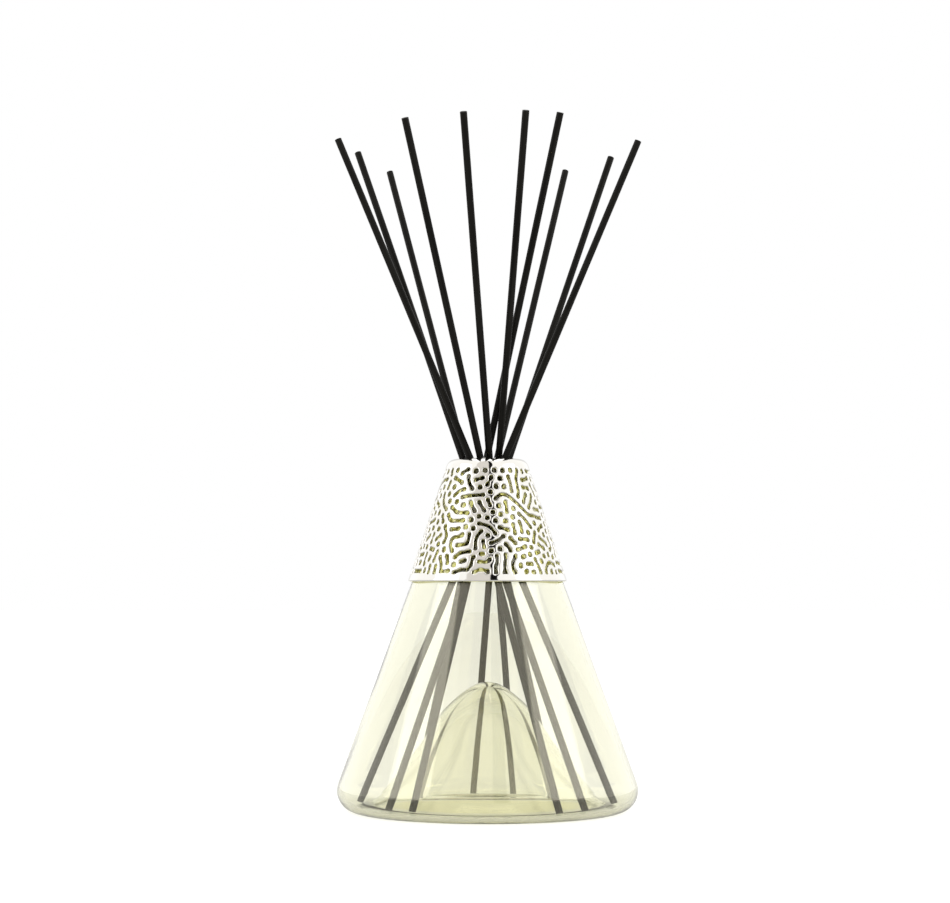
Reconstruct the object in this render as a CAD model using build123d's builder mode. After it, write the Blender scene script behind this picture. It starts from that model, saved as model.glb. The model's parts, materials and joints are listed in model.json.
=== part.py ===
"""Reed diffuser: a conical blown-glass bottle, a perforated metal collar and ten loose reeds.

The origin is the centre of the foot ring, in the plane of the table. +Z is up, and +Y points
away from the front. Lengths are in millimetres and angles in degrees.
"""

import os
from math import cos, pi, radians, sin, tan

from build123d import *

os.makedirs("parts", exist_ok=True)

# Glass bottle
GLASS_WALL = 2.2
CONE_HALF_ANGLE = 20.1
CORNER_RADIUS = 8.6  # outside rounding between the foot ring and the cone
CORNER_CENTRE = 54.0  # how far the rounding's centre stands from the axis
NECK_RADIUS = 15.6
NECK_TOP = 142.4
# Upper face of the kick-up, from its crown to where it meets the trough (radius, height)
PUNT_OUTLINE = [(0, 53), (16, 43.6), (28, 27.2), (39, 13.4), (48.2, 3.4)]
PUNT_FOOT_SLOPE = 0.75  # rise over run of the kick-up where it leaves the trough
PUNT_TOE = 1.0  # flat step from the kick-up's foot to the trough
PUNT_UNDERSIDE_STEPS = 8
FOOT_RING_STEP = 1.5  # from the foot ring's inner edge inwards to the hollow's rising wall

# Metal collar: a cone shell with a rounded shoulder and a thicker lip round the mouth
COLLAR_BOTTOM = 95.2
COLLAR_TOP = 146.0
COLLAR_BOTTOM_RADIUS = 33.2
COLLAR_TAPER = 18.5  # half angle of the cone
COLLAR_WALL = 1.2
SHOULDER_RADIUS = 4.0
LIP_THICKNESS = 2.3
MOUTH_RADIUS = 13.2
EDGE_ROUNDING = 0.4

# Perforations of the collar
FIRST_ROW = 100.5
ROW_STEP = 5.8
ROWS = 7
ROW_HEIGHTS = [FIRST_ROW + ROW_STEP * row for row in range(ROWS)]
HOLE_PITCH = 9.4  # along a row
HOLE_WIDTH = 2.0
SLOT_LENGTH = 5.2
SLOT_TILTS = [None, 35, 90, -35]  # None is a round hole
TILT_SHIFT = 3  # each row starts this many shapes further on
CUT_DEPTH = 2 * COLLAR_WALL  # to each side of the cone's face

# Soft ring between the glass rim and the collar's lip
GASKET_INNER_RADIUS = 13.5
GASKET_OUTER_RADIUS = 15.2
GASKET_GAP = 0.1  # above the glass

# Reeds
REED_DIAMETER = 2.9
REED_LENGTH = 300.0
REED_CHAMFER = 0.15
FOOT_HEIGHT = 2.95  # middle of a reed's lower end
MOUTH_HEIGHT = 146.0
# Where each reed stands in the trough (azimuth, radius) and passes the mouth (x, y). The
# axes of any two reeds stay more than a reed's diameter apart along their whole length.
REEDS = [
    (-12.0, 53.3, -7.1, -8.8),
    (-43.5, 53.3, -10.2, -4.1),
    (-58.0, 53.3, -9.2, 6.7),
    (56.0, 52.2, -2.9, -7.7),
    (77.0, 52.8, 0.9, -5.1),
    (97.0, 53.2, 4.7, -1.2),
    (126.0, 53.3, -0.4, 0.0),
    (-125.5, 51.1, 3.9, 10.7),
    (-137.5, 53.3, 8.9, -0.1),
    (187.0, 53.3, 7.2, -5.8),
]


def cone_tangent(centre_radius, centre_height, rounding, half_angle):
    """Where a rounding about a centre runs into a cone that narrows upwards."""
    angle = radians(half_angle)
    return centre_radius + rounding * cos(angle), centre_height + rounding * sin(angle)


def collar_radius(height):
    """Outside radius of the collar's cone."""
    return COLLAR_BOTTOM_RADIUS - (height - COLLAR_BOTTOM) * tan(radians(COLLAR_TAPER))


# ---------------------------------------------------------------- glass bottle
corner_angle = 90 + CONE_HALF_ANGLE
cone_start = cone_tangent(CORNER_CENTRE, CORNER_RADIUS, CORNER_RADIUS, CONE_HALF_ANGLE)
inner_corner = CORNER_RADIUS - GLASS_WALL
inner_cone_start = cone_tangent(CORNER_CENTRE, CORNER_RADIUS, inner_corner, CONE_HALF_ANGLE)
inner_neck_radius = NECK_RADIUS - GLASS_WALL
rim_rounding = GLASS_WALL / 2
neck_straight_top = NECK_TOP - rim_rounding
cone_rise = (cone_start[0] - NECK_RADIUS) / tan(radians(CONE_HALF_ANGLE))
inner_rise = (inner_cone_start[0] - inner_neck_radius) / tan(radians(CONE_HALF_ANGLE))

with BuildPart() as glass_bottle:
    with BuildSketch(Plane.XZ):
        with BuildLine():
            # outside, from the foot ring up to the rim
            foot = CenterArc(
                (CORNER_CENTRE, CORNER_RADIUS), CORNER_RADIUS, 270, corner_angle
            )
            Line(foot @ 1, (NECK_RADIUS, cone_start[1] + cone_rise))
            Line((NECK_RADIUS, cone_start[1] + cone_rise), (NECK_RADIUS, neck_straight_top))
            ThreePointArc(
                (NECK_RADIUS, neck_straight_top),
                (NECK_RADIUS - rim_rounding, NECK_TOP),
                (inner_neck_radius, neck_straight_top),
            )
            # inside, from the rim down to the trough
            neck_foot = (inner_neck_radius, inner_cone_start[1] + inner_rise)
            Line((inner_neck_radius, neck_straight_top), neck_foot)
            trough = CenterArc((CORNER_CENTRE, CORNER_RADIUS), inner_corner, 270, corner_angle)
            Line(neck_foot, trough @ 1)
            # kick-up: upper face, axis, underside one wall lower
            punt = Spline(*reversed(PUNT_OUTLINE), tangents=[(-1, PUNT_FOOT_SLOPE), (-1, 0)])
            Polyline(trough @ 0, (PUNT_OUTLINE[-1][0] + PUNT_TOE, GLASS_WALL), punt @ 0)
            under = [
                punt @ (step / PUNT_UNDERSIDE_STEPS)
                + (punt % (step / PUNT_UNDERSIDE_STEPS)).rotate(Axis.Z, 90) * GLASS_WALL
                for step in range(1, PUNT_UNDERSIDE_STEPS + 1)
            ]
            ring_inside = (under[0].X + FOOT_RING_STEP, 0)
            underside = Spline(
                ring_inside, *under, tangents=[(-1, PUNT_FOOT_SLOPE), (-1, 0)]
            )
            Line(underside @ 1, punt @ 1)
            Line(ring_inside, foot @ 0)
        make_face()
    revolve(axis=Axis.Z)
glass_bottle.part.label = "glass_bottle"
export_step(glass_bottle.part, "parts/glass_bottle.step")


# ---------------------------------------------------------------- perforated collar
shoulder_height = COLLAR_TOP - SHOULDER_RADIUS
shoulder_lift = SHOULDER_RADIUS * sin(radians(COLLAR_TAPER))
shoulder_centre = (
    collar_radius(shoulder_height + shoulder_lift) - SHOULDER_RADIUS * cos(radians(COLLAR_TAPER)),
    shoulder_height,
)
collar_inset = COLLAR_WALL / cos(radians(COLLAR_TAPER))
lip_underside = COLLAR_TOP - LIP_THICKNESS


def wall_plane(height, azimuth):
    """Plane that touches the collar's cone: x runs round the collar and z points outwards."""
    around, taper = radians(azimuth), radians(COLLAR_TAPER)
    outwards = (cos(around) * cos(taper), sin(around) * cos(taper), sin(taper))
    radius = collar_radius(height)
    return Plane(
        origin=(radius * cos(around), radius * sin(around), height),
        x_dir=(-sin(around), cos(around), 0),
        z_dir=outwards,
    )


planes_by_tilt = {tilt: [] for tilt in SLOT_TILTS}
for row, height in enumerate(ROW_HEIGHTS):
    holes = int(2 * pi * collar_radius(height) / HOLE_PITCH)
    for hole in range(holes):
        tilt = SLOT_TILTS[(hole + row * TILT_SHIFT) % len(SLOT_TILTS)]
        azimuth = 360 * (hole + 0.5 * (row % 2)) / holes
        planes_by_tilt[tilt].append(wall_plane(height, azimuth))

with BuildPart() as perforated_collar:
    with BuildSketch(Plane.XZ):
        with BuildLine():
            shoulder = CenterArc(
                shoulder_centre, SHOULDER_RADIUS, COLLAR_TAPER, 90 - COLLAR_TAPER
            )
            Polyline(
                shoulder @ 0,
                (COLLAR_BOTTOM_RADIUS, COLLAR_BOTTOM),
                (COLLAR_BOTTOM_RADIUS - collar_inset, COLLAR_BOTTOM),
                (collar_radius(lip_underside) - collar_inset, lip_underside),
                (MOUTH_RADIUS, lip_underside),
                (MOUTH_RADIUS, COLLAR_TOP),
                shoulder @ 1,
            )
        make_face()
    revolve(axis=Axis.Z)
    bottom_edge = perforated_collar.edges().group_by(Axis.Z)[0].sort_by(SortBy.RADIUS)[-1]
    fillet(bottom_edge, EDGE_ROUNDING)
    for tilt, planes in planes_by_tilt.items():
        with BuildSketch(*planes):
            if tilt is None:
                Circle(HOLE_WIDTH / 2)
            else:
                SlotOverall(SLOT_LENGTH, HOLE_WIDTH, rotation=tilt)
        extrude(amount=CUT_DEPTH, both=True, mode=Mode.SUBTRACT)
perforated_collar.part.label = "perforated_collar"
export_step(perforated_collar.part, "parts/perforated_collar.step")


# ---------------------------------------------------------------- rim gasket
with BuildPart() as rim_gasket:
    with BuildSketch(Plane.XY.offset(NECK_TOP + GASKET_GAP)):
        Circle(GASKET_OUTER_RADIUS)
        Circle(GASKET_INNER_RADIUS, mode=Mode.SUBTRACT)
    extrude(amount=lip_underside - NECK_TOP - GASKET_GAP)
rim_gasket.part.label = "rim_gasket"
export_step(rim_gasket.part, "parts/rim_gasket.step")


# ---------------------------------------------------------------- reeds
for number, (azimuth, radius, mouth_x, mouth_y) in enumerate(REEDS, start=1):
    stand = Vector(radius * cos(radians(azimuth)), radius * sin(radians(azimuth)), FOOT_HEIGHT)
    lean = (Vector(mouth_x, mouth_y, MOUTH_HEIGHT) - stand).normalized()
    with BuildPart() as reed:
        with BuildSketch(Plane(origin=stand, z_dir=lean)):
            Circle(REED_DIAMETER / 2)
        extrude(amount=REED_LENGTH)
        chamfer(reed.edges().filter_by(GeomType.CIRCLE), REED_CHAMFER)
    reed.part.label = f"reed_{number}"
    export_step(reed.part, f"parts/reed_{number}.step")
    print(reed.part.label, "slides along", [round(part, 5) for part in lean])
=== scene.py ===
import json
from math import ceil, cos, log, pi, radians, sin, tan

import bpy
import numpy as np
from mathutils import Matrix, Vector, noise


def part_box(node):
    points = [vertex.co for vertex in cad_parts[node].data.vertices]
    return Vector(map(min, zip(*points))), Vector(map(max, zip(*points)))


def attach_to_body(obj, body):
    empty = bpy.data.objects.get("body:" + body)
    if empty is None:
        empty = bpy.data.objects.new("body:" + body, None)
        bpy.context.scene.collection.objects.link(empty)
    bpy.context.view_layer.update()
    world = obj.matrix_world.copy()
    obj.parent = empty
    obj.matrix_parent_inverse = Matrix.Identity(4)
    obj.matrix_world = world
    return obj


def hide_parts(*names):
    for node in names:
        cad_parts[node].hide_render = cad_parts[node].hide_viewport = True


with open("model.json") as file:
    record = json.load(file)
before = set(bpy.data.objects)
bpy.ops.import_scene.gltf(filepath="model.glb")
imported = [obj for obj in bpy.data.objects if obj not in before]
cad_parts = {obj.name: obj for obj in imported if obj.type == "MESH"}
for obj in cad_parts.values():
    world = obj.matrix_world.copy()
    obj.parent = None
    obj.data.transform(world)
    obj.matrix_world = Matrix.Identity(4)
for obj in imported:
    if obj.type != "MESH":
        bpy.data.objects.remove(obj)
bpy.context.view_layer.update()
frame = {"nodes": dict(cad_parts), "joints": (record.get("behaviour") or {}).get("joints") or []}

MM = 0.001
scene = bpy.context.scene
boxes = {node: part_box(node) for node in frame["nodes"]}

# Glass bottle (its wall, roundings and kick-up repeat the CAD solid's)
BOTTLE_RADIUS = boxes["glass_bottle"][1].x
NECK_TOP = boxes["glass_bottle"][1].z
GLASS_WALL = 2.2 * MM
CONE_HALF_ANGLE = radians(20.1)
CORNER_RADIUS = 8.6 * MM
CORNER_CENTRE = BOTTLE_RADIUS - CORNER_RADIUS
NECK_RADIUS = 15.6 * MM
# Upper face of the kick-up, from its crown to its foot (radius, height), in millimetres
PUNT_OUTLINE = [(0, 53), (16, 43.6), (28, 27.2), (39, 13.4), (48.2, 3.4)]
PUNT_FOOT_SLOPE = 0.75
PUNT_TOE = 1.0 * MM  # flat step from the kick-up's foot to the trough
FOOT_RING_STEP = 1.5 * MM
FOOT_RING_EDGE = [(-0.25 * MM, 0.12 * MM), (0.2 * MM, 0)]  # rounds the foot ring's inner edge
BLOWN_RIPPLE, RIPPLE_SIZE = 0.05 * MM, 30 * MM
LATHE_SIDES = 256

# Metal collar
COLLAR_BOTTOM = boxes["perforated_collar"][0].z
COLLAR_TOP = boxes["perforated_collar"][1].z
COLLAR_BOTTOM_RADIUS = 33.2 * MM
COLLAR_TAPER = radians(18.5)
COLLAR_WALL = 1.2 * MM
LIP_THICKNESS = 2.3 * MM
SHOULDER_RADIUS = 4.0 * MM
MOUTH_RADIUS = 13.2 * MM
PLAIN_BAND = 2.7 * MM  # without holes, at the bottom edge
PLAIN_SHOULDER = 1.3 * MM  # without holes, under the shoulder's rounding
HOLE_EDGE_ROUNDING = 0.34 * MM
RIM_EDGE_ROUNDING = 0.38 * MM

# Gasket
GASKET_INNER_RADIUS = 13.5 * MM
GASKET_ROUNDING = 0.35 * MM
GASKET_SIDES = 96

# Reeds
REED_RADIUS = 1.45 * MM
REED_SIDES = 28
REED_RING_STEP = 4 * MM
REED_EDGE_ROUNDING = 0.16 * MM
REED_UNEVENNESS, REED_FIBRE_DEPTH = 0.025 * MM, 0.06 * MM
REED_SHRINK = 0.015 * MM  # keeps the uneven surface inside the CAD solid
REED_TURN = 2.4  # radians from one reed to the next, so no two show the same side


# ------------------------------------------------------------------ meshes
def piece(name, vertices, faces, material, smooth=True):
    """A mesh object in the row frame."""
    mesh = bpy.data.meshes.new(name)
    mesh.from_pydata(vertices, [], faces)
    mesh.update()
    if smooth:
        mesh.shade_smooth()
    else:
        mesh.shade_flat()
    mesh.materials.append(material)
    thing = bpy.data.objects.new(name, mesh)
    scene.collection.objects.link(thing)
    return thing


def attach(thing, node, body):
    """The piece stands for a CAD node, which it hides, and moves with its body."""
    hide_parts(node)
    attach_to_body(thing, body)
    return thing


def arc(centre, radius, start, sweep, steps):
    """Points (radius from the axis, height) along an arc; angles from outwards, upwards positive."""
    angles = [start + sweep * step / steps for step in range(steps + 1)]
    return [(centre[0] + radius * cos(a), centre[1] + radius * sin(a)) for a in angles]


def line(start, end, steps):
    """Points along a straight run, without its first one."""
    return [
        (start[0] + (end[0] - start[0]) * k / steps, start[1] + (end[1] - start[1]) * k / steps)
        for k in range(1, steps + 1)
    ]


def lathe(name, outline, material, sides=LATHE_SIDES, ripple=0.0, seed=0.0):
    """Turns a closed outline round the axis. Points on the axis become poles. The outline runs
    so that the solid lies on its left. ripple is a soft unevenness of the radius."""
    vertices, rings = [], []
    for radius, height in outline:
        if radius < 1e-7:
            rings.append([len(vertices)])
            vertices.append((0, 0, height))
            continue
        first = len(vertices)
        for side in range(sides):
            around = 2 * pi * side / sides
            place = Vector((cos(around) * radius, sin(around) * radius, height)) / RIPPLE_SIZE
            wave = ripple * noise.noise(place + Vector((seed, 0, 0)))
            vertices.append(((radius + wave) * cos(around), (radius + wave) * sin(around), height))
        rings.append(list(range(first, first + sides)))
    faces = []
    for lower, upper in zip(rings, rings[1:] + rings[:1]):
        if len(lower) == 1 and len(upper) == 1:
            continue
        for side in range(sides):
            after = (side + 1) % sides
            quad = [lower[side % len(lower)], lower[after % len(lower)],
                    upper[after % len(upper)], upper[side % len(upper)]]
            faces.append(tuple(dict.fromkeys(quad)))
    return piece(name, vertices, faces, material)


def spline(points, start_slope, end_slope, steps):
    """A smooth curve through points, as cubic pieces; the slopes are its end directions."""
    points = [Vector(p) for p in points]
    slopes = [Vector(start_slope).normalized() * (points[1] - points[0]).length]
    for before, after in zip(points, points[2:]):
        slopes.append((after - before) / 2)
    slopes.append(Vector(end_slope).normalized() * (points[-1] - points[-2]).length)
    curve = []
    for k in range(len(points) - 1):
        for step in range(steps):
            t = step / steps
            curve.append(
                points[k] * (2 * t**3 - 3 * t**2 + 1) + slopes[k] * (t**3 - 2 * t**2 + t)
                + points[k + 1] * (3 * t**2 - 2 * t**3) + slopes[k + 1] * (t**3 - t**2)
            )
    return curve + [points[-1]]


def offset(curve, distance):
    """The curve moved to its right by a distance."""
    moved = []
    for k, point in enumerate(curve):
        along = (curve[min(k + 1, len(curve) - 1)] - curve[max(k - 1, 0)]).normalized()
        moved.append(point + Vector((along.y, -along.x)) * distance)
    return moved


# ------------------------------------------------------------------ materials
def material(name):
    """A new material, its node tree and its Principled shader."""
    made = bpy.data.materials.new(name)
    made.use_nodes = True
    tree = made.node_tree
    return made, tree, tree.nodes["Principled BSDF"]


def add(tree, kind, **values):
    """A node of that kind; values name its properties or, with spaces as _, its inputs."""
    node = tree.nodes.new(kind)
    for name, value in values.items():
        socket = next((s for s in node.inputs if s.name.replace(" ", "_") == name), None)
        if socket is not None and not hasattr(type(node), name):
            socket.default_value = value
        else:
            setattr(node, name, value)
    return node


def noise_ramp(tree, coordinates, scale, low, high, detail=3.0, stretch=(1, 1, 1)):
    """Noise over stretched coordinates, mapped to the range low to high."""
    place = add(tree, "ShaderNodeMapping")
    place.inputs["Scale"].default_value = stretch
    texture = add(tree, "ShaderNodeTexNoise", Scale=scale, Detail=detail)
    spread = add(tree, "ShaderNodeMapRange")
    spread.inputs["From Min"].default_value = 0.3
    spread.inputs["From Max"].default_value = 0.7
    spread.inputs["To Min"].default_value = low
    spread.inputs["To Max"].default_value = high
    tree.links.new(coordinates, place.inputs["Vector"])
    tree.links.new(place.outputs["Vector"], texture.inputs["Vector"])
    tree.links.new(texture.outputs["Fac"], spread.inputs["Value"])
    return spread.outputs["Result"]


def blend_colours(tree, amount, first, second):
    """The first colour where amount is 0 and the second where it is 1; each is a colour or an
    output."""
    mix = add(tree, "ShaderNodeMix", data_type="RGBA")
    for socket, value in ((mix.inputs[0], amount), (mix.inputs[6], first), (mix.inputs[7], second)):
        if isinstance(value, tuple):
            socket.default_value = value
        else:
            tree.links.new(value, socket)
    return mix.outputs[2]


def bump(tree, shader, height, strength, distance):
    """Bumps the shader's normal by a height output."""
    node = add(tree, "ShaderNodeBump")
    node.inputs["Strength"].default_value = strength
    node.inputs["Distance"].default_value = distance
    tree.links.new(height, node.inputs["Height"])
    tree.links.new(node.outputs["Normal"], shader.inputs["Normal"])


def glass():
    """Clear blown glass, tinted pale yellow-green through its thickness, and deeper in the
    part that the collar covers. Light for the floor passes straight through it."""
    made, tree, shader = material("blown_glass")
    shader.inputs["Transmission Weight"].default_value = 1.0
    shader.inputs["IOR"].default_value = 1.6
    shader.inputs["Specular Tint"].default_value = (1.0, 0.96, 0.82, 1)
    shader.inputs["Roughness"].default_value = 0.0
    place = add(tree, "ShaderNodeTexCoord").outputs["Object"]
    parts = add(tree, "ShaderNodeSeparateXYZ")
    tree.links.new(place, parts.inputs["Vector"])
    covered = add(tree, "ShaderNodeMapRange", interpolation_type="SMOOTHSTEP")
    covered.inputs["From Min"].default_value = COLLAR_BOTTOM + 0.5 * MM
    covered.inputs["From Max"].default_value = COLLAR_BOTTOM + 5 * MM
    tree.links.new(parts.outputs["Z"], covered.inputs["Value"])
    colour = blend_colours(tree, covered.outputs["Result"], (1, 1, 1, 1), (0.86, 0.85, 0.58, 1))
    tree.links.new(colour, shader.inputs["Base Color"])
    tint = add(tree, "ShaderNodeVolumeAbsorption", Color=(0.70, 0.675, 0.06, 1), Density=64.0)
    waves = noise_ramp(tree, place, 38.0, 0.0, 1.0, detail=1.0, stretch=(1, 1, 0.4))
    bump(tree, shader, waves, 0.12, 0.0006)
    clear = add(tree, "ShaderNodeBsdfTransparent", Color=(0.995, 0.995, 0.98, 1))
    mix = add(tree, "ShaderNodeMixShader")
    path = add(tree, "ShaderNodeLightPath")
    tree.links.new(path.outputs["Is Shadow Ray"], mix.inputs[0])
    tree.links.new(shader.outputs["BSDF"], mix.inputs[1])
    tree.links.new(clear.outputs["BSDF"], mix.inputs[2])
    output = tree.nodes["Material Output"]
    tree.links.new(mix.outputs["Shader"], output.inputs["Surface"])
    tree.links.new(tint.outputs["Volume"], output.inputs["Volume"])
    return made


def chrome():
    """Polished plated metal, with a faint unevenness of polish; duller down the holes' walls and
    inside, and there a lighter olive colour: painted reflection of the tinted glass round them."""
    made, tree, shader = material("polished_chrome")
    shader.inputs["Metallic"].default_value = 1.0
    place = add(tree, "ShaderNodeTexCoord").outputs["Object"]
    depth = add(tree, "ShaderNodeAttribute", attribute_name=COLLAR_DEPTH).outputs["Fac"]
    deeper = add(tree, "ShaderNodeMapRange", interpolation_type="SMOOTHSTEP")
    deeper.inputs["From Min"].default_value = 0.22
    deeper.inputs["From Max"].default_value = 0.6
    tree.links.new(depth, deeper.inputs["Value"])
    inside = deeper.outputs["Result"]
    polish = noise_ramp(tree, place, 90.0, 0.03, 0.07, detail=4.0)
    rough = add(tree, "ShaderNodeMath", operation="MULTIPLY_ADD")
    rough.inputs[1].default_value = 0.4
    tree.links.new(inside, rough.inputs[0])
    tree.links.new(polish, rough.inputs[2])
    tree.links.new(rough.outputs["Value"], shader.inputs["Roughness"])
    tone = noise_ramp(tree, place, 45.0, 0.0, 1.0)
    face = blend_colours(tree, tone, (0.535, 0.525, 0.505, 1), (0.565, 0.555, 0.53, 1))
    # painted reflection: lighter olive base colour on the holes' walls and the inner face
    back = blend_colours(tree, tone, (0.86, 0.84, 0.54, 1), (0.94, 0.92, 0.62, 1))
    tree.links.new(blend_colours(tree, inside, face, back), shader.inputs["Base Color"])
    dents = noise_ramp(tree, place, 420.0, 0.0, 1.0, detail=2.0)
    bump(tree, shader, dents, 0.08, 0.00003)
    return made


def rubber():
    """Soft black sealing ring."""
    made, tree, shader = material("black_rubber")
    place = add(tree, "ShaderNodeTexCoord").outputs["Object"]
    tone = noise_ramp(tree, place, 160.0, 0.0, 1.0)
    colour = blend_colours(tree, tone, (0.012, 0.012, 0.012, 1), (0.022, 0.021, 0.020, 1))
    tree.links.new(colour, shader.inputs["Base Color"])
    rough = noise_ramp(tree, place, 300.0, 0.5, 0.7)
    tree.links.new(rough, shader.inputs["Roughness"])
    bump(tree, shader, tone, 0.2, 0.0001)
    return made


def reed_fibre():
    """Dyed black reed: fine grain along its length, satin."""
    made, tree, shader = material("black_reed")
    place = add(tree, "ShaderNodeTexCoord").outputs["Object"]
    grain = noise_ramp(tree, place, 1500.0, 0.0, 1.0, detail=4.0, stretch=(1, 1, 0.02))
    colour = blend_colours(tree, grain, (0.0030, 0.0028, 0.0023, 1), (0.0105, 0.0098, 0.0082, 1))
    tree.links.new(colour, shader.inputs["Base Color"])
    rough = noise_ramp(tree, place, 700.0, 0.36, 0.54, stretch=(1, 1, 0.05))
    tree.links.new(rough, shader.inputs["Roughness"])
    shader.inputs["Specular IOR Level"].default_value = 0.05
    bump(tree, shader, grain, 0.35, 0.00012)
    return made


# ------------------------------------------------------------------ glass bottle
def bottle_outline():
    """Half section of the bottle: underside, foot ring, outside, rim, inside, kick-up."""
    outside_turn = pi / 2 + CONE_HALF_ANGLE
    corner = (CORNER_CENTRE, CORNER_RADIUS)
    outer_corner = arc(corner, CORNER_RADIUS, -pi / 2, outside_turn, 28)
    inner_corner = arc(corner, CORNER_RADIUS - GLASS_WALL, -pi / 2, outside_turn, 24)
    rise = (outer_corner[-1][0] - NECK_RADIUS) / tan(CONE_HALF_ANGLE)
    neck = (NECK_RADIUS, outer_corner[-1][1] + rise)
    inner_radius = NECK_RADIUS - GLASS_WALL
    rise = (inner_corner[-1][0] - inner_radius) / tan(CONE_HALF_ANGLE)
    inner_neck = (inner_radius, inner_corner[-1][1] + rise)
    rim_centre = (NECK_RADIUS - GLASS_WALL / 2, NECK_TOP - GLASS_WALL / 2)
    crown = [(r * MM, z * MM) for r, z in PUNT_OUTLINE]
    punt = spline(crown, (1, 0), (1, -PUNT_FOOT_SLOPE), 12)
    under = offset(punt, GLASS_WALL)
    ring_inside = under[-1].x + FOOT_RING_STEP
    toe = (punt[-1].x + PUNT_TOE, GLASS_WALL)
    under[0].x = 0
    outline = [tuple(p) for p in under if p.y > 0.4 * MM]
    outline += [(ring_inside + inwards, height) for inwards, height in FOOT_RING_EDGE]
    outline += outer_corner + line(outer_corner[-1], neck, 48)
    outline += line(neck, (NECK_RADIUS, rim_centre[1]), 3)[:-1]
    outline += arc(rim_centre, GLASS_WALL / 2, 0, pi, 12)
    outline += line((inner_radius, rim_centre[1]), inner_neck, 3)
    outline += line(inner_neck, inner_corner[-1], 48)[:-1]
    outline += inner_corner[::-1]
    outline += [toe] + [tuple(p) for p in reversed(punt)]
    return outline


def make_bottle():
    """The whole bottle as one closed wall."""
    thing = lathe("blown_bottle", bottle_outline(), glass(), ripple=BLOWN_RIPPLE, seed=4.0)
    return attach(thing, "glass_bottle", "bottle")


# ------------------------------------------------------------------ collar
# The collar's wall is a sheet with three directions: round the axis, up its profile (arc
# length from the bottom edge) and through it (outwards from the outer face).
CONE_APEX = COLLAR_BOTTOM_RADIUS / sin(COLLAR_TAPER)  # slant way from the bottom edge
SHOULDER_HEIGHT = COLLAR_TOP - SHOULDER_RADIUS
CONE_TOP = SHOULDER_HEIGHT + SHOULDER_RADIUS * sin(COLLAR_TAPER)
CONE_LENGTH = (CONE_TOP - COLLAR_BOTTOM) / cos(COLLAR_TAPER)
SHOULDER_CENTRE = (  # how far the rounding's centre stands from the axis
    COLLAR_BOTTOM_RADIUS - CONE_LENGTH * sin(COLLAR_TAPER) - SHOULDER_RADIUS * cos(COLLAR_TAPER)
)
SHOULDER_LENGTH = SHOULDER_RADIUS * (pi / 2 - COLLAR_TAPER)
PROFILE_LENGTH = CONE_LENGTH + SHOULDER_LENGTH + SHOULDER_CENTRE - MOUTH_RADIUS

HOLES_START = PLAIN_BAND
HOLES_END = CONE_LENGTH - PLAIN_SHOULDER
PATTERN_COLUMNS = 400
PATTERN_STEPS = 7000
FEED, KILL = 0.0365, 0.0623  # between spots and winding stripes
KILL_DRIFT = 0.0004  # more spots in some places, longer stripes in others
EDGE_KILL = 0.009  # the pattern dies out along the plain bands
EDGE_FADE = 3.2 * MM
EDGE_OVERLAP = 0.9 * MM  # how far the pattern's own field runs into the plain bands
TIME_STEP = 0.65
WAVE = 0.295 * MM  # sets the holes' spacing
DIFFUSION = 0.16  # of the first substance; the second spreads half as fast
SEED_BLOCK, SEED_SHARE = 4, 0.15  # cells across a starting spot, and how much they cover
HOLE_LEVEL = 0.17
FARTHEST = 2 * MM  # limit of the distance to a hole's edge
COLLAR_DEPTH = "depth_in_wall"  # 0 on the collar's outer face, 1 on its inner one
PATTERN_SEED = 33
COLLAR_COLUMNS, UP_STEP, OUT_STEP = 540, 0.37 * MM, 0.28 * MM  # grid of the collar's mesh
UPS_START = -2 * UP_STEP
FINER = 3  # steps between two grid lines when the mesh is settled onto its surface
SETTLE_ROUNDS, SETTLE_PROBE, SETTLE_LIMIT = 4, 0.03 * MM, 0.12 * MM


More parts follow.
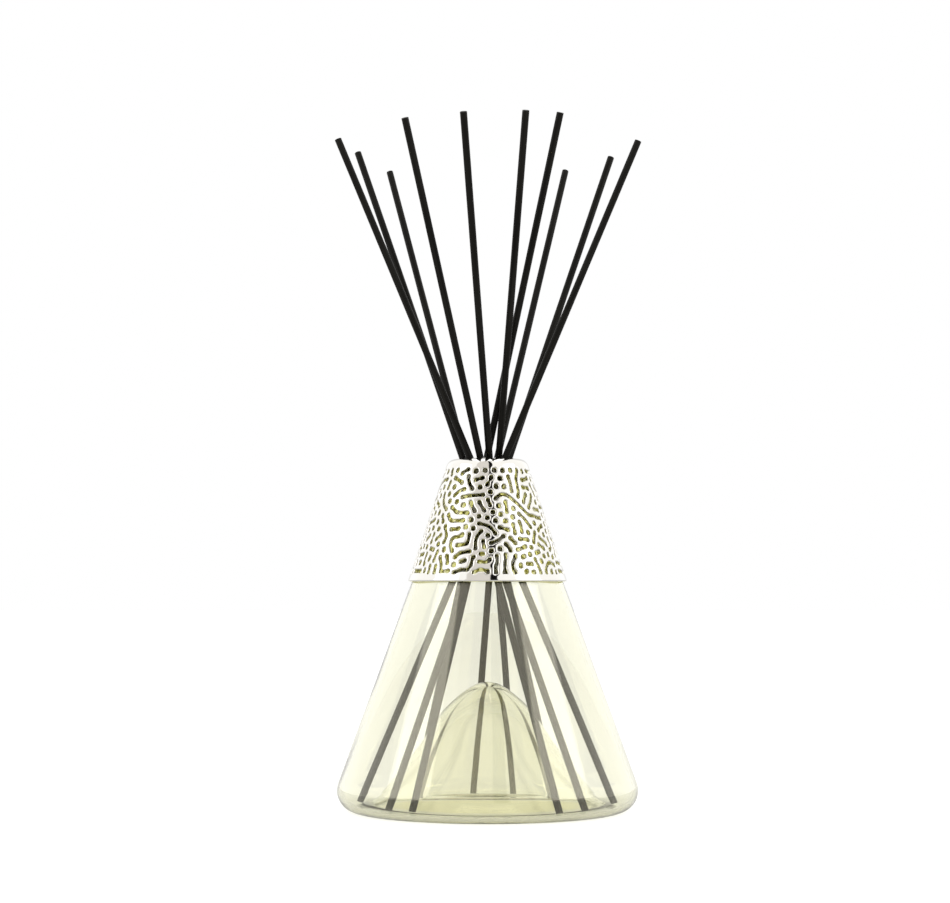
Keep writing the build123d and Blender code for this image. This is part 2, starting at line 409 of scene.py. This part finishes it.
def turing_pattern():
    """Gray-Scott reaction and diffusion on the unrolled cone, in cells that grow with the
    slant distance, so spots and stripes have the same size everywhere."""
    unrolled = 2 * pi * sin(COLLAR_TAPER)
    far, near = CONE_APEX - HOLES_START + EDGE_OVERLAP, CONE_APEX - HOLES_END - EDGE_OVERLAP
    rows = int(log(far / near) / (unrolled / PATTERN_COLUMNS))
    slants = far * (near / far) ** (np.arange(rows) / (rows - 1))
    spread = DIFFUSION * (WAVE / (slants * unrolled / PATTERN_COLUMNS)) ** 2
    spread_u = spread.astype(np.float32)[:, None]
    spread_v = spread_u * np.float32(0.5)
    around = np.arange(PATTERN_COLUMNS) * 2 * pi / PATTERN_COLUMNS
    drift = np.sin(3 * around[None] + slants[:, None] / (9 * MM)) * np.cos(
        2 * around[None] - slants[:, None] / (6 * MM)
    )
    to_edge = np.minimum(far - slants, slants - near)[:, None] / EDGE_FADE
    kill = KILL + KILL_DRIFT * drift + EDGE_KILL * np.clip(1 - to_edge, 0, 1) ** 2
    loss = (FEED + kill).astype(np.float32)
    draw = np.random.default_rng(PATTERN_SEED)
    u = np.ones((rows, PATTERN_COLUMNS), np.float32)
    v = np.zeros((rows, PATTERN_COLUMNS), np.float32)
    blocks = (rows // SEED_BLOCK + 1, PATTERN_COLUMNS // SEED_BLOCK)
    seeds = np.kron(draw.random(blocks) < SEED_SHARE, np.ones((SEED_BLOCK, SEED_BLOCK)))
    seeds = seeds[:rows, :PATTERN_COLUMNS].astype(bool)
    u[seeds], v[seeds] = 0.4, 0.5
    v += draw.random((rows, PATTERN_COLUMNS)).astype(np.float32) * np.float32(0.02)

    def neighbours(a):
        total = np.roll(a, 1, 1) + np.roll(a, -1, 1) - 4 * a
        total[1:] += a[:-1]
        total[:-1] += a[1:]
        total[0] += a[0]
        total[-1] += a[-1]
        return total

    feed, step = np.float32(FEED), np.float32(TIME_STEP)
    for _ in range(PATTERN_STEPS):
        reaction = u * v * v
        gain_u = spread_u * neighbours(u) - reaction + feed * (1 - u)
        gain_v = spread_v * neighbours(v) + reaction - loss * v
        u += step * gain_u
        v += step * gain_v
    return v, far, near


def cubic(values, at, wrap):
    """Values along the first axis read at fractional places, by cubic interpolation."""
    count = len(values)
    base = np.floor(at).astype(int)
    t = (at - base)[:, None]
    weights = (
        -0.5 * t + t**2 - 0.5 * t**3,
        1 - 2.5 * t**2 + 1.5 * t**3,
        0.5 * t + 2 * t**2 - 1.5 * t**3,
        -0.5 * t**2 + 0.5 * t**3,
    )
    total = 0
    for shift, weight in zip((-1, 0, 1, 2), weights):
        index = base + shift
        index = index % count if wrap else np.clip(index, 0, count - 1)
        total = total + weight * values[index]
    return total


def hole_distance(azimuth_count, ups):
    """Roughly how far each place of the wall's face lies from the nearest hole's edge, in
    metres: above zero in a hole. Rows follow ups, columns go round."""
    pattern, far, near = turing_pattern()
    slants = np.clip(CONE_APEX - ups, near, far)
    rows = np.log(far / slants) / log(far / near) * (len(pattern) - 1)
    columns = np.arange(azimuth_count) * PATTERN_COLUMNS / azimuth_count
    level = cubic(cubic(pattern, rows, False).T, columns, True).T
    slope_up = np.gradient(level, axis=0) / np.gradient(ups)[:, None]
    around = (CONE_APEX - ups)[:, None] * sin(COLLAR_TAPER) * 2 * pi / azimuth_count
    slope_round = (np.roll(level, -1, 1) - np.roll(level, 1, 1)) / 2 / around
    slope = np.hypot(slope_up, slope_round)
    steepest = np.percentile(slope, 97)
    distance = (level - HOLE_LEVEL) / np.hypot(slope, 0.25 * steepest)
    distance[(CONE_APEX - ups > far) | (CONE_APEX - ups < near)] = -FARTHEST
    return drop_islands(np.clip(distance, -FARTHEST, FARTHEST))


def drop_islands(distance):
    """Opens what a ring-shaped hole would cut loose from the rest of the wall."""
    metal = distance < 0
    reached = np.zeros_like(metal)
    reached[0], reached[-1] = True, True
    while True:
        grown = reached | np.roll(reached, 1, 1) | np.roll(reached, -1, 1)
        grown[1:] |= reached[:-1]
        grown[:-1] |= reached[1:]
        grown &= metal
        if (grown == reached).all():
            break
        reached = grown
    loose = metal & ~reached
    distance[loose] = FARTHEST / 2
    return distance


def wall_size(hole, up, out):
    """Signed size of the collar's wall, above zero in the metal, a way up and out of its face
    and at a distance (above zero inside) from the nearest hole's edge."""
    swell = np.clip((up - CONE_LENGTH) / SHOULDER_LENGTH, 0, 1)
    wall = COLLAR_WALL + (LIP_THICKNESS - COLLAR_WALL) * swell**2 * (3 - 2 * swell)
    past_end = np.abs(up - PROFILE_LENGTH / 2) - PROFILE_LENGTH / 2 + RIM_EDGE_ROUNDING
    past_face = np.abs(out + wall / 2) - wall / 2 + RIM_EDGE_ROUNDING
    sheet = np.hypot(np.maximum(past_end, 0), np.maximum(past_face, 0))
    sheet = sheet + np.minimum(np.maximum(past_end, past_face), 0) - RIM_EDGE_ROUNDING
    edge = HOLE_EDGE_ROUNDING
    rounded = np.hypot(np.maximum(sheet + edge, 0), np.maximum(hole + edge, 0))
    return -(np.minimum(np.maximum(sheet, hole), -edge) + rounded)


def read_between(grid, column, row):
    """A grid over (round, up) read between its nodes, column and row as fractions."""
    left, low = np.floor(column).astype(int), np.floor(row).astype(int)
    low = np.clip(low, 0, grid.shape[1] - 2)
    a, b = column - left, row - low
    here, after = left % len(grid), (left + 1) % len(grid)
    lower = (1 - a) * grid[here, low] + a * grid[after, low]
    upper = (1 - a) * grid[here, low + 1] + a * grid[after, low + 1]
    return (1 - b) * lower + b * upper


def settle(holes, azimuth, up, out):
    """Moves points close to the wall's surface onto it, along the steepest way. holes is the
    distance to the nearest hole's edge over (round, up), FINER steps to a step of the mesh."""
    columns = len(holes)

    def size(azimuth, up, out):
        row = (up - UPS_START) / UP_STEP * FINER
        return wall_size(read_between(holes, azimuth / (2 * pi) * columns, row), up, out)

    for _ in range(SETTLE_ROUNDS):
        radius = (CONE_APEX - up) * sin(COLLAR_TAPER)
        shift = SETTLE_PROBE
        turn = shift / radius
        slope_round = size(azimuth + turn, up, out) - size(azimuth - turn, up, out)
        slope_up = size(azimuth, up + shift, out) - size(azimuth, up - shift, out)
        slope_out = size(azimuth, up, out + shift) - size(azimuth, up, out - shift)
        slope = np.stack([slope_round, slope_up, slope_out]) / (2 * shift)
        steep = np.maximum((slope**2).sum(0), 0.2)
        move = np.clip(-size(azimuth, up, out) / steep, -SETTLE_LIMIT, SETTLE_LIMIT) * slope
        azimuth = azimuth + move[0] / radius
        up = up + move[1]
        out = out + move[2]
    return azimuth, up, out


def surface_net(field):
    """Vertices, in index units, and quads of the surface where a field crosses zero. The field
    runs round in its first direction and is below zero along its other borders."""
    def crossings(a, b):
        split = (a > 0) != (b > 0)
        share = np.where(split, a / np.where(split, a - b, 1), 0)
        return split, share

    count, height, depth = field.shape
    after = np.roll(field, -1, 0)
    round_split, round_share = crossings(field, after)
    up_split, up_share = crossings(field[:, :-1], field[:, 1:])
    out_split, out_share = crossings(field[:, :, :-1], field[:, :, 1:])
    shape = (count, height - 1, depth - 1)
    hits, total = np.zeros(shape), np.zeros(shape + (3,))
    for a in (0, 1):
        for b in (0, 1):
            part = (slice(None), slice(a, a + height - 1), slice(b, b + depth - 1))
            split, share = round_split[part], round_share[part]
            hits += split
            total += np.stack([share, a * split, b * split], -1)
            part = (slice(None), slice(None), slice(b, b + depth - 1))
            split, share = np.roll(up_split, -a, 0)[part], np.roll(up_share, -a, 0)[part]
            hits += split
            total += np.stack([a * split, share, b * split], -1)
            part = (slice(None), slice(b, b + height - 1), slice(None))
            split, share = np.roll(out_split, -a, 0)[part], np.roll(out_share, -a, 0)[part]
            hits += split
            total += np.stack([a * split, b * split, share], -1)
    used = hits > 0
    number = np.full(shape, -1)
    number[used] = np.arange(used.sum())
    cells = np.stack(np.nonzero(used), -1)
    vertices = cells + total[used] / hits[used][:, None]

    def quads(split, inside_first, corners):
        found = np.stack(np.nonzero(split), -1)
        ring = np.stack(
            [number[(found[:, 0] + c[0]) % count, found[:, 1] + c[1], found[:, 2] + c[2]]
             for c in corners], -1)
        turn = ~inside_first[tuple(found.T)]
        ring[turn] = ring[turn][:, ::-1]
        return ring

    faces = np.concatenate([
        quads(round_split, field > 0, ((0, -1, -1), (0, 0, -1), (0, 0, 0), (0, -1, 0))),
        quads(up_split, field[:, :-1] > 0, ((-1, 0, -1), (-1, 0, 0), (0, 0, 0), (0, 0, -1))),
        quads(out_split, field[:, :, :-1] > 0, ((-1, -1, 0), (0, -1, 0), (0, 0, 0), (-1, 0, 0))),
    ])
    return vertices, faces


def on_collar(azimuth, up, out):
    """Places on the collar, from the angle round, the way up the profile and the way out."""
    turn = np.clip((up - CONE_LENGTH) / SHOULDER_RADIUS, 0, pi / 2 - COLLAR_TAPER)
    flat = np.clip(up - CONE_LENGTH - SHOULDER_LENGTH, 0, None)
    cone = np.minimum(up, CONE_LENGTH)
    facing = COLLAR_TAPER + turn
    shoulder = up > CONE_LENGTH
    radius = np.where(
        shoulder,
        SHOULDER_CENTRE + SHOULDER_RADIUS * np.cos(facing) - flat,
        COLLAR_BOTTOM_RADIUS - cone * sin(COLLAR_TAPER),
    )
    height = np.where(
        shoulder,
        SHOULDER_HEIGHT + SHOULDER_RADIUS * np.sin(facing),
        COLLAR_BOTTOM + cone * cos(COLLAR_TAPER),
    )
    radius = radius + out * np.cos(facing)
    height = height + out * np.sin(facing)
    return np.stack([radius * np.cos(azimuth), radius * np.sin(azimuth), height], -1)


def make_collar():
    """The sleeve with its winding holes, as one closed wall with rounded edges."""
    ups = UPS_START + np.arange(ceil(PROFILE_LENGTH / UP_STEP) + 5) * UP_STEP
    outs = np.arange(-ceil(LIP_THICKNESS / OUT_STEP) - 1, 3) * OUT_STEP
    holes = hole_distance(COLLAR_COLUMNS, ups).T
    net, faces = surface_net(wall_size(holes[:, :, None], ups[None, :, None], outs[None, None]))
    azimuth = net[:, 0] * 2 * pi / COLLAR_COLUMNS
    up = np.interp(net[:, 1], np.arange(len(ups)), ups)
    out = np.interp(net[:, 2], np.arange(len(outs)), outs)
    finer = cubic(holes, np.arange(FINER * COLLAR_COLUMNS) / FINER, True)
    finer = cubic(finer.T, np.arange(FINER * (len(ups) - 1) + 1) / FINER, False).T
    azimuth, up, out = settle(finer, azimuth, up, out)
    vertices = on_collar(azimuth, up, out)
    thing = piece("winding_hole_collar", vertices.tolist(), faces.tolist(), chrome())
    depth = thing.data.attributes.new(COLLAR_DEPTH, "FLOAT", "POINT")
    depth.data.foreach_set("value", np.clip(-out / COLLAR_WALL, 0, 1).astype(np.float32))
    return attach(thing, "perforated_collar", "collar")


# ------------------------------------------------------------------ gasket
def make_gasket():
    """The soft ring between the glass rim and the lip, with rounded edges."""
    low, high = boxes["rim_gasket"]
    outer, inner, rounding = high.x, GASKET_INNER_RADIUS, GASKET_ROUNDING
    outline = []
    for centre, start in (
        ((outer - rounding, low.z + rounding), -pi / 2),
        ((outer - rounding, high.z - rounding), 0),
        ((inner + rounding, high.z - rounding), pi / 2),
        ((inner + rounding, low.z + rounding), pi),
    ):
        outline += arc(centre, rounding, start, pi / 2, 4)
    thing = lathe("soft_rim_ring", outline, rubber(), sides=GASKET_SIDES)
    return attach(thing, "rim_gasket", "collar")


# ------------------------------------------------------------------ reeds
def reed_line(node, axis):
    """Middle of a reed's lower end and the reed's length, from its CAD mesh."""
    points = np.array([v.co for v in frame["nodes"][node].data.vertices])
    along = points @ np.array(axis)
    lower_end = np.unique(points[along < along.min() + 0.01 * MM].round(7), axis=0)
    return Vector(lower_end.mean(0)), along.max() - along.min()


def reed_rings(length):
    """Rings of a reed, from its lower end to its upper one: share of its radius, height."""
    edge = REED_EDGE_ROUNDING / REED_RADIUS
    end = [(share, 0.0) for share in (0.0, 0.35, 0.7, 1 - edge)]
    end += [(1 - 0.3 * edge, 0.3 * REED_EDGE_ROUNDING), (1.0, REED_EDGE_ROUNDING)]
    steps = int(length / REED_RING_STEP)
    body = [(1.0, length * k / steps) for k in range(1, steps)]
    return end + body + [(share, length - height) for share, height in reversed(end)]


def make_reed(number, joint, fibre):
    """A reed along its own z: slightly uneven round, with rounded cut edges and open fibres
    on its end faces."""
    axis = Vector(joint["axis"]).normalized()
    foot, length = reed_line(joint["child"], axis)
    vertices, ring_starts = [], []
    for share, height in reed_rings(length):
        ring_starts.append(len(vertices))
        if share == 0:
            vertices.append((0, 0, height))
            continue
        end_face = share < 0.95
        inwards = 1 if height < length / 2 else -1
        for side in range(REED_SIDES):
            around = 2 * pi * side / REED_SIDES
            spot = Vector((cos(around) * share, sin(around) * share, height / (20 * MM)))
            uneven = noise.noise(spot * 1.3 + Vector((0, 0, 7 * number))) * REED_UNEVENNESS
            fibres = noise.noise(spot * 9 + Vector((3 * number, 0, 0))) * REED_FIBRE_DEPTH
            radius = REED_RADIUS * share + (0 if end_face else uneven - REED_SHRINK)
            sunk = height + inwards * abs(fibres) * end_face
            vertices.append((radius * cos(around), radius * sin(around), sunk))
    faces = []
    for lower, upper in zip(ring_starts, ring_starts[1:]):
        for side in range(REED_SIDES):
            after = (side + 1) % REED_SIDES
            if lower == 0:
                faces.append((0, upper + after, upper + side))
            elif upper == ring_starts[-1]:
                faces.append((lower + side, lower + after, upper))
            else:
                faces.append((lower + side, lower + after, upper + after, upper + side))
    thing = piece(f"reed_stick_{number}", vertices, faces, fibre)
    lean = axis.to_track_quat("Z", "Y").to_matrix().to_4x4()
    turn = Matrix.Rotation(REED_TURN * number, 4, "Z")
    thing.matrix_world = Matrix.Translation(foot) @ lean @ turn
    return attach(thing, joint["child"], joint["child"])


# ------------------------------------------------------------------ stage, light and camera
FLOOR_HALF_WIDTH = 6.0
FLOOR_DROP = 0.2 * MM  # below the foot ring
FLOOR_GLOW = 0.34
FLOOR_LIFT = 0.35  # more glow where the camera sees the floor directly

# Azimuths of the studio's parts, in degrees from the front to the right
DARK_GAP = (4.5, 16)
GREY_CARD = (-34, 9)
SIDE_PANELS = (-158, 158)

CAMERA_PLACE = (0, -0.976, 0.096)
CAMERA_AIM = (-5.2 * MM, 0, 149.3 * MM)
CAMERA_LENS, CAMERA_SENSOR = 88.45, 36.0
LIGHTS_AIM = (0, 0, 0.14)
SOFTBOX_SIZE = 0.9


def make_floor():
    """A pale floor, a little brighter seen directly than through the glass, with a painted pool
    of yellowish light under the bottle, for the light that comes through it."""
    made, tree, shader = material("pale_floor")
    place = add(tree, "ShaderNodeTexCoord").outputs["Object"]
    tone = noise_ramp(tree, place, 3.0, 0.0, 1.0)
    colour = blend_colours(tree, tone, (0.38, 0.38, 0.375, 1), (0.40, 0.40, 0.395, 1))
    away = add(tree, "ShaderNodeVectorMath", operation="LENGTH")
    tree.links.new(place, away.inputs[0])
    # painted light: a yellowish pool under the bottle, in the base colour and the glow
    nearer = add(tree, "ShaderNodeMapRange", interpolation_type="SMOOTHSTEP")
    nearer.inputs["From Min"].default_value = CORNER_CENTRE
    nearer.inputs["From Max"].default_value = 0.6 * CORNER_CENTRE
    tree.links.new(away.outputs["Value"], nearer.inputs["Value"])
    under = nearer.outputs["Result"]
    colour = blend_colours(tree, under, colour, (0.42, 0.41, 0.31, 1))
    tree.links.new(colour, shader.inputs["Base Color"])
    # painted light: a stronger, yellower glow under the bottle
    glow = blend_colours(tree, under, (1, 1, 1, 1), (1.15, 1.12, 0.80, 1))
    tree.links.new(glow, shader.inputs["Emission Color"])
    shader.inputs["Roughness"].default_value = 0.9
    shader.inputs["Specular IOR Level"].default_value = 0.0
    lift = add(tree, "ShaderNodeMath", operation="MULTIPLY_ADD")
    lift.inputs[1].default_value = FLOOR_LIFT
    lift.inputs[2].default_value = FLOOR_GLOW
    path = add(tree, "ShaderNodeLightPath")
    tree.links.new(path.outputs["Is Camera Ray"], lift.inputs[0])
    tree.links.new(lift.outputs["Value"], shader.inputs["Emission Strength"])
    half = FLOOR_HALF_WIDTH
    corners = [(-half, -half, 0), (half, -half, 0), (half, half, 0), (-half, half, 0)]
    floor = piece("floor", corners, [(0, 1, 2, 3)], made, smooth=False)
    floor.location.z = -FLOOR_DROP


def between(tree, azimuth, limits, soft):
    """1 where an azimuth lies between two limits, with soft edges, in degrees."""
    edges = []
    for edge, rising in zip(limits, (True, False)):
        ramp = add(tree, "ShaderNodeMapRange", interpolation_type="SMOOTHSTEP")
        ramp.inputs["From Min"].default_value = radians(edge - soft)
        ramp.inputs["From Max"].default_value = radians(edge + soft)
        ramp.inputs["To Min"].default_value = 0 if rising else 1
        ramp.inputs["To Max"].default_value = 1 if rising else 0
        tree.links.new(azimuth, ramp.inputs["Value"])
        edges.append(ramp.outputs["Result"])
    both = add(tree, "ShaderNodeMath", operation="MULTIPLY")
    tree.links.new(edges[0], both.inputs[0])
    tree.links.new(edges[1], both.inputs[1])
    return both.outputs["Value"]


def make_world():
    """A white studio: bright panels all round except behind, a greyer card in front and a
    narrow dark gap just right of the front. What is seen directly or through the glass is
    plain white."""
    world = bpy.data.worlds.new("studio")
    scene.world = world
    world.use_nodes = True
    tree = world.node_tree
    direction = add(tree, "ShaderNodeTexCoord").outputs["Generated"]
    parts = add(tree, "ShaderNodeSeparateXYZ")
    tree.links.new(direction, parts.inputs["Vector"])
    back = add(tree, "ShaderNodeMath", operation="MULTIPLY")
    back.inputs[1].default_value = -1
    tree.links.new(parts.outputs["Y"], back.inputs[0])
    angle = add(tree, "ShaderNodeMath", operation="ARCTAN2")
    tree.links.new(parts.outputs["X"], angle.inputs[0])
    tree.links.new(back.outputs["Value"], angle.inputs[1])
    azimuth = angle.outputs["Value"]
    gap = between(tree, azimuth, DARK_GAP, 0.8)
    card = between(tree, azimuth, GREY_CARD, 1.5)
    sides = between(tree, azimuth, SIDE_PANELS, 14)
    colour = blend_colours(tree, sides, (0.95, 0.95, 0.94, 1), (1.75, 1.74, 1.71, 1))
    colour = blend_colours(tree, card, colour, (1.24, 1.19, 1.13, 1))
    colour = blend_colours(tree, gap, colour, (0.01, 0.01, 0.01, 1))
    path = add(tree, "ShaderNodeLightPath")
    for seen in ("Is Transmission Ray", "Is Camera Ray"):
        colour = blend_colours(tree, path.outputs[seen], colour, (1.0, 1.0, 1.0, 1))
    tree.links.new(colour, tree.nodes["Background"].inputs["Color"])


def point_at(thing, place, target):
    """Puts a lamp or camera at a place, facing a target."""
    thing.location = place
    facing = Vector(target) - Vector(place)
    thing.rotation_euler = facing.to_track_quat("-Z", "Y").to_euler()


def make_lights():
    """Two softboxes, left and right of the camera, and one overhead."""
    for name, place, power in (
        ("left_softbox", (-1.2, -0.5, 0.6), 5),
        ("right_softbox", (1.2, -0.5, 0.6), 5),
        ("top_softbox", (0, 0.2, 1.5), 3),
    ):
        light = bpy.data.lights.new(name, "AREA")
        light.shape, light.size, light.energy = "SQUARE", SOFTBOX_SIZE, power
        lamp = bpy.data.objects.new(name, light)
        point_at(lamp, place, LIGHTS_AIM)
        scene.collection.objects.link(lamp)


def make_camera():
    """A long lens a metre away, level with the collar's lower edge and tipped up a little."""
    data = bpy.data.cameras.new("camera")
    data.lens, data.sensor_width = CAMERA_LENS, CAMERA_SENSOR
    camera = bpy.data.objects.new("camera", data)
    point_at(camera, CAMERA_PLACE, CAMERA_AIM)
    scene.collection.objects.link(camera)
    scene.camera = camera


make_bottle()
make_collar()
make_gasket()
fibre = reed_fibre()
reed_joints = [joint for joint in frame["joints"] if joint["child"].startswith("reed_")]
for number, joint in enumerate(reed_joints, start=1):
    make_reed(number, joint, fibre)
make_floor()
make_world()
make_lights()
make_camera()
scene.view_settings.view_transform = "Standard"
